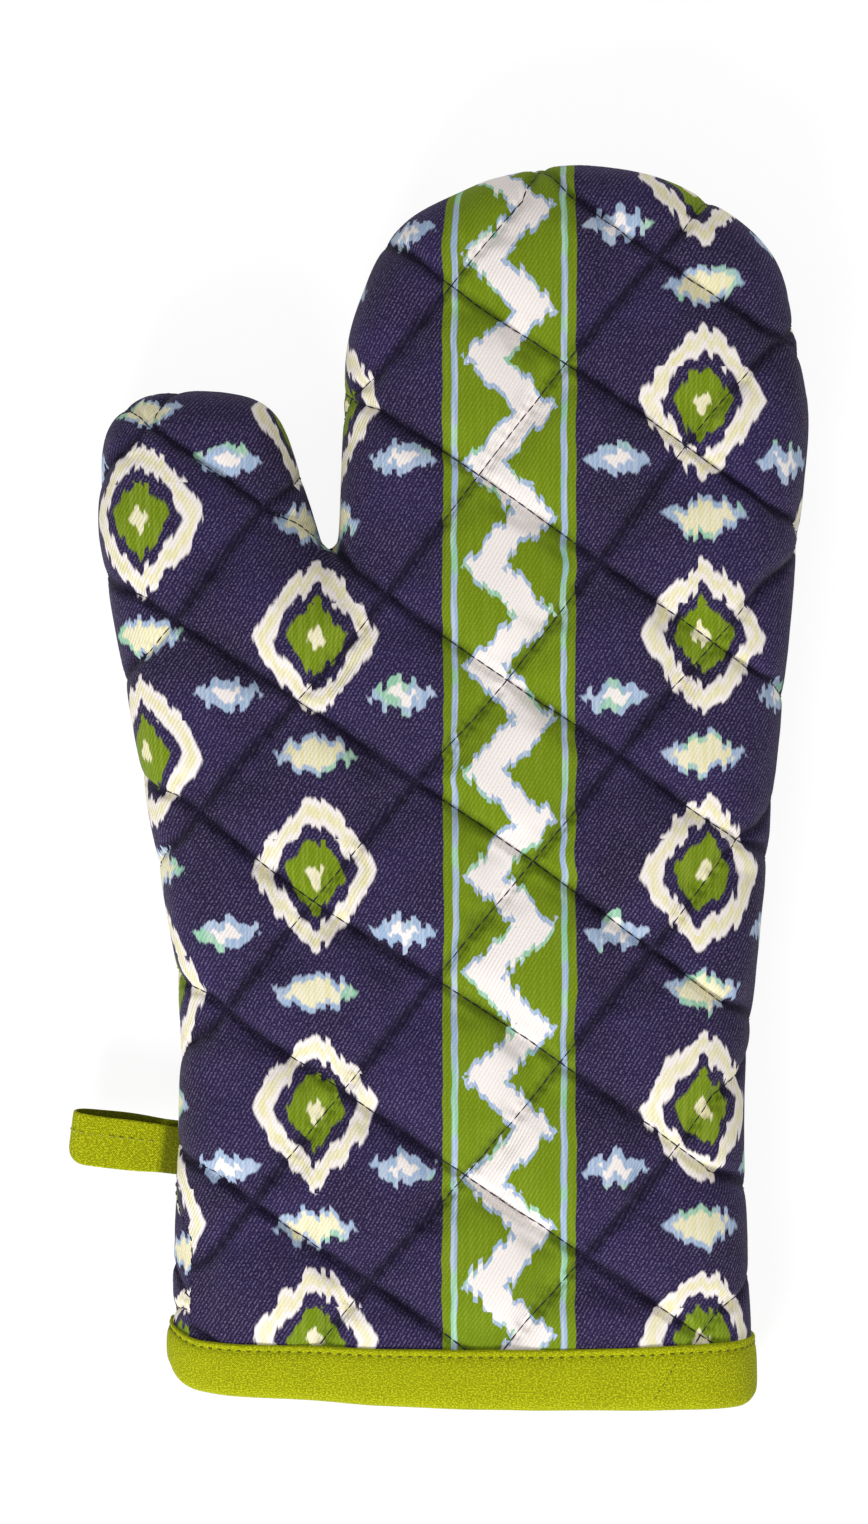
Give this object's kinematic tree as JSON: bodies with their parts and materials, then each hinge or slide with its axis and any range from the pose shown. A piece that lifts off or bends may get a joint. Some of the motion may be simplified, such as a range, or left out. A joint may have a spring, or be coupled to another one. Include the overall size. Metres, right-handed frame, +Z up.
{
  "type": "oven mitt",
  "caption": "Quilted oven mitt with a separate thumb, patterned dark blue cotton covers, a green taped cuff and a green hanging loop in its side seam.",
  "frame": {"origin": "on the flat underside of the back cover, under the middle of the palm", "axes": "+Y from the cuff to the finger tips, +Z up out of the front panel, -X towards the thumb and the hanging loop"},
  "size_m": [0.1992, 0.3313, 0.04],
  "materials": {
    "printed_twill": "matte cotton twill, printed",
    "cotton_batting": "soft matte wadding",
    "plain_lining": "plain woven cotton",
    "green_tape": "plain woven bias tape",
    "green_thread": "sewing thread",
    "navy_thread": "sewing thread",
    "pale_thread": "overlock thread"
  },
  "bodies": {
    "mitt": {"front_cover": "printed_twill", "front_quilting_thread": "navy_thread", "front_batting": "cotton_batting", "front_lining": "plain_lining", "back_cover": "printed_twill", "back_quilting_thread": "navy_thread", "back_batting": "cotton_batting", "back_lining": "plain_lining", "side_seam_thread": "navy_thread", "seam_allowance_overlock": "pale_thread", "cuff_binding": "green_tape", "binding_topstitch": "green_thread", "binding_join_stitch": "green_thread", "loop_tail": "green_tape"},
    "loop": {"hanging_loop": "green_tape", "loop_edge_stitch": "green_thread"}
  },
  "joints": [
    {"name": "loop_hinge", "type": "hinge", "parent": "mitt", "child": "loop", "pos_m": [-0.0805, -0.084, 0.015], "axis": [0.1219, 0.9925, 0], "range_deg": [-75, 75]}
  ]
}
